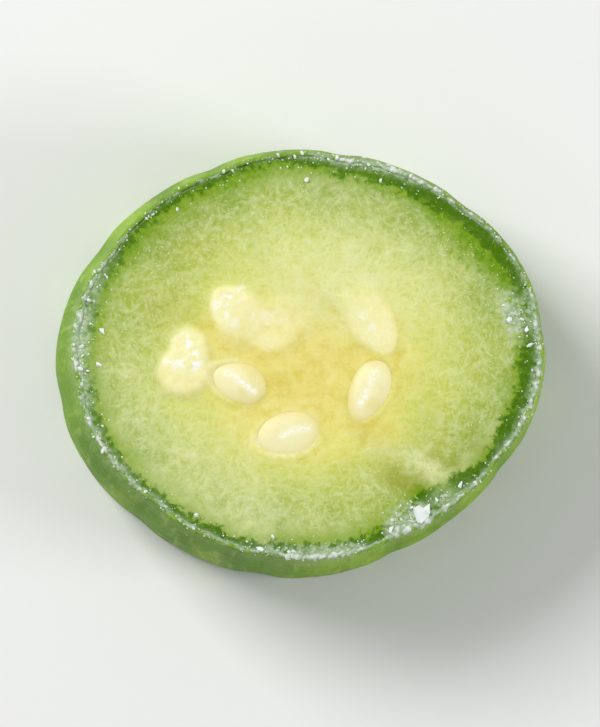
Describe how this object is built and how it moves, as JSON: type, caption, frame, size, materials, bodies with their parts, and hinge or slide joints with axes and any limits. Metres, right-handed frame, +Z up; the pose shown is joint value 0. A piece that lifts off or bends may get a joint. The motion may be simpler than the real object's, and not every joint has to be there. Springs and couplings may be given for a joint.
{
  "type": "sponge gourd slice",
  "caption": "Thick round cut across a young sponge gourd, with green skin, pale flesh, a yellow heart and bedded seeds, resting on its lower cut face.",
  "frame": {"origin": "middle of the bounding box of the slice, on the surface that its lower cut face rests on", "axes": "+Z up, along the length of the fruit from the lower cut face to the upper one; +X along the long way of the oval"},
  "size_m": [0.0556, 0.0486, 0.0246],
  "materials": {
    "flesh": "satin",
    "skin": "gloss",
    "seed": "satin",
    "frost": "matte"
  },
  "bodies": {
    "root": {"gourd_slice": "flesh"}
  },
  "joints": []
}
